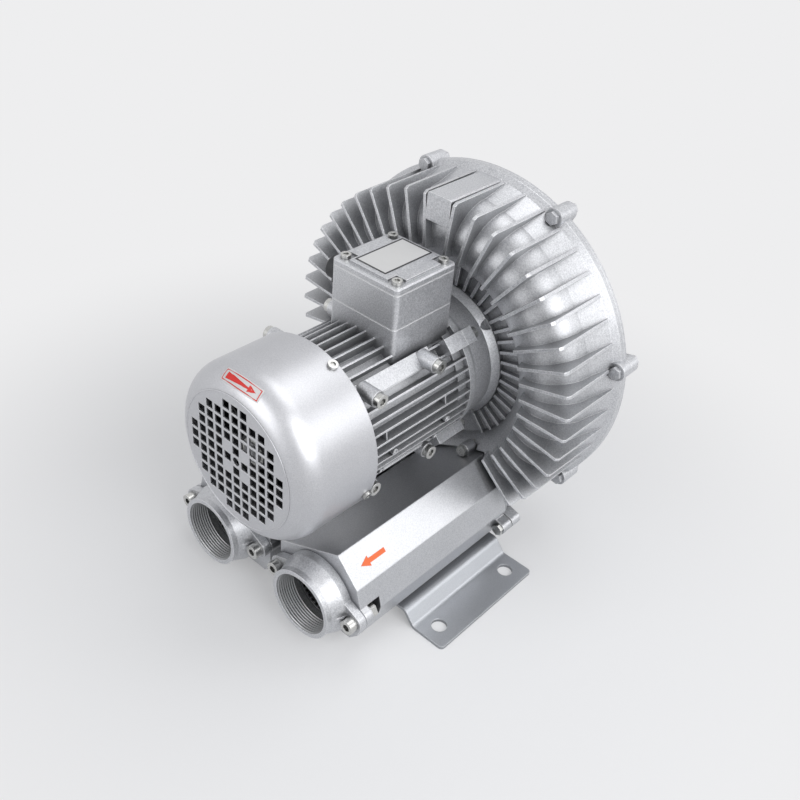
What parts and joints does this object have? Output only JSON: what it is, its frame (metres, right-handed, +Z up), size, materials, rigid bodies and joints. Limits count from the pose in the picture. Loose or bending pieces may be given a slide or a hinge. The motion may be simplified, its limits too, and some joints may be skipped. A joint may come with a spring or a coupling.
{
  "type": "side channel blower",
  "caption": "Ribbed side channel blower with a fan-cooled motor, terminal box, silencers with threaded ports and a bent sheet foot.",
  "frame": {"origin": "on the floor plane, at the centre of the four foot holes", "axes": "+Z up, shaft along +Y from the motor fan to the impeller, ports open towards -Y, +X to the outlet side"},
  "size_m": [0.329, 0.3288, 0.3345],
  "materials": {
    "cast_aluminium": "silver-grey painted sand casting",
    "zinc_steel": "zinc-plated screws",
    "bearing_steel": "ground steel",
    "painted_sheet": "silver-grey painted sheet steel",
    "laminated_iron": "varnished laminations",
    "copper_winding": "enamelled and varnished copper wire",
    "black_rubber": "moulded rubber",
    "black_plastic": "moulded polyamide",
    "brass": "turned brass",
    "wire_mesh": "perforated steel sheet",
    "grey_foam": "open-cell foam"
  },
  "bodies": {
    "root": {"blower_housing": "cast_aluminium", "housing_cover": "cast_aluminium", "casing_bolts": "zinc_steel", "casing_nuts": "zinc_steel", "front_bearing_outer_ring": "bearing_steel", "rear_bearing_outer_ring": "bearing_steel", "motor_frame": "cast_aluminium", "boss_screws": "zinc_steel", "drive_end_shield": "cast_aluminium", "shield_screws": "zinc_steel", "rear_end_shield": "cast_aluminium", "rear_shield_screws": "zinc_steel", "wave_spring": "bearing_steel", "stator_core": "laminated_iron", "stator_windings": "copper_winding", "shaft_seal": "black_rubber", "fan_cover": "painted_sheet", "fan_cover_screws": "zinc_steel", "terminal_box_body": "cast_aluminium", "box_gasket": "black_rubber", "lid_gasket": "black_rubber", "terminal_lid": "cast_aluminium", "lid_screws": "zinc_steel", "terminal_block": "black_plastic", "terminal_studs": "brass", "cable_gland": "black_plastic", "blanking_plug": "black_plastic", "inlet_silencer": "cast_aluminium", "inlet_flange": "cast_aluminium", "inlet_flange_gasket": "black_rubber", "inlet_mesh_tube": "wire_mesh", "inlet_foam_liner": "grey_foam", "outlet_silencer": "cast_aluminium", "outlet_flange": "cast_aluminium", "outlet_flange_gasket": "black_rubber", "outlet_mesh_tube": "wire_mesh", "outlet_foam_liner": "grey_foam", "flange_screws": "zinc_steel", "flange_nuts": "zinc_steel", "joint_gaskets": "black_rubber", "joint_screws": "zinc_steel", "foot_plate": "painted_sheet", "foot_screws": "zinc_steel"},
    "rotor": {"impeller": "cast_aluminium", "rotor_shaft": "bearing_steel", "impeller_key": "zinc_steel", "impeller_bolt": "zinc_steel", "impeller_washer": "zinc_steel", "rotor_core": "cast_aluminium", "front_bearing_inner_ring": "bearing_steel", "front_bearing_balls": "bearing_steel", "rear_bearing_inner_ring": "bearing_steel", "rear_bearing_balls": "bearing_steel", "cooling_fan": "black_plastic", "fan_clip": "zinc_steel"}
  },
  "joints": [
    {"name": "rotor_spin", "type": "hinge", "parent": "root", "child": "rotor", "pos_m": [0, 0, 0.173], "axis": [0, 1, 0], "continuous": true}
  ]
}
